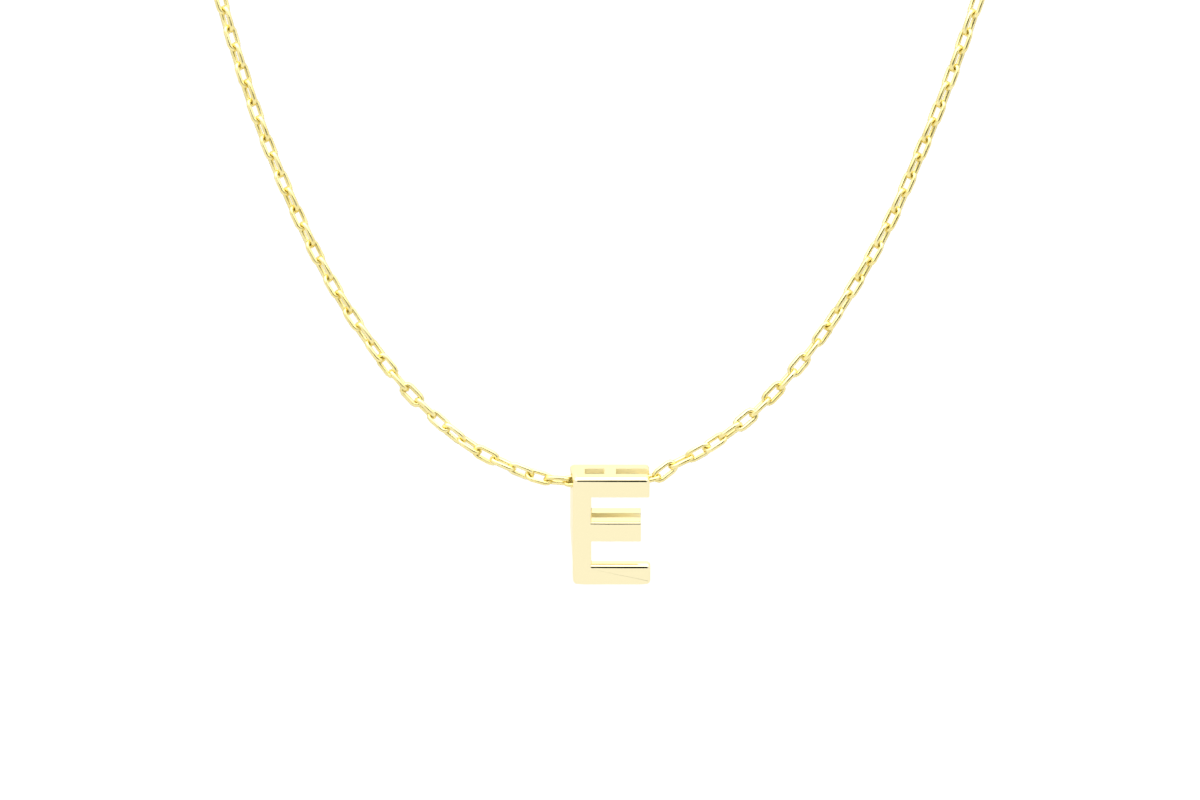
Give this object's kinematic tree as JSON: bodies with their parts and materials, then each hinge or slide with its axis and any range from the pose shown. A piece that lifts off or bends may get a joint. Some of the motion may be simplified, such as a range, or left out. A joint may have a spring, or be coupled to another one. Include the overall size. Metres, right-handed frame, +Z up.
{
  "type": "initial pendant necklace",
  "caption": "Block letter E in polished yellow gold that slides on a fine cable chain necklace, which closes with a plain ring clasp at the nape.",
  "frame": {"origin": "at the nape, the middle of the clasp's ring, where the back of the neck carries the necklace", "axes": "+X to the right as seen from the front, +Y from the front of the neck to the back, +Z up"},
  "size_m": [0.109, 0.1015, 0.1098],
  "materials": {
    "letter_gold": "mirror polished pale yellow gold",
    "chain_gold": "bright polished yellow gold wire",
    "clasp_gold": "polished yellow gold"
  },
  "bodies": {
    "necklace": {"chain_left": "chain_gold", "chain_right": "chain_gold", "clasp": "clasp_gold", "end_ring": "clasp_gold"},
    "letter": {"letter_e": "letter_gold"}
  },
  "joints": [
    {"name": "letter_swing", "type": "hinge", "parent": "necklace", "child": "letter", "pos_m": [0, -0.0985, -0.0985], "axis": [1, 0, 0], "range_deg": [-90, 90]}
  ]
}
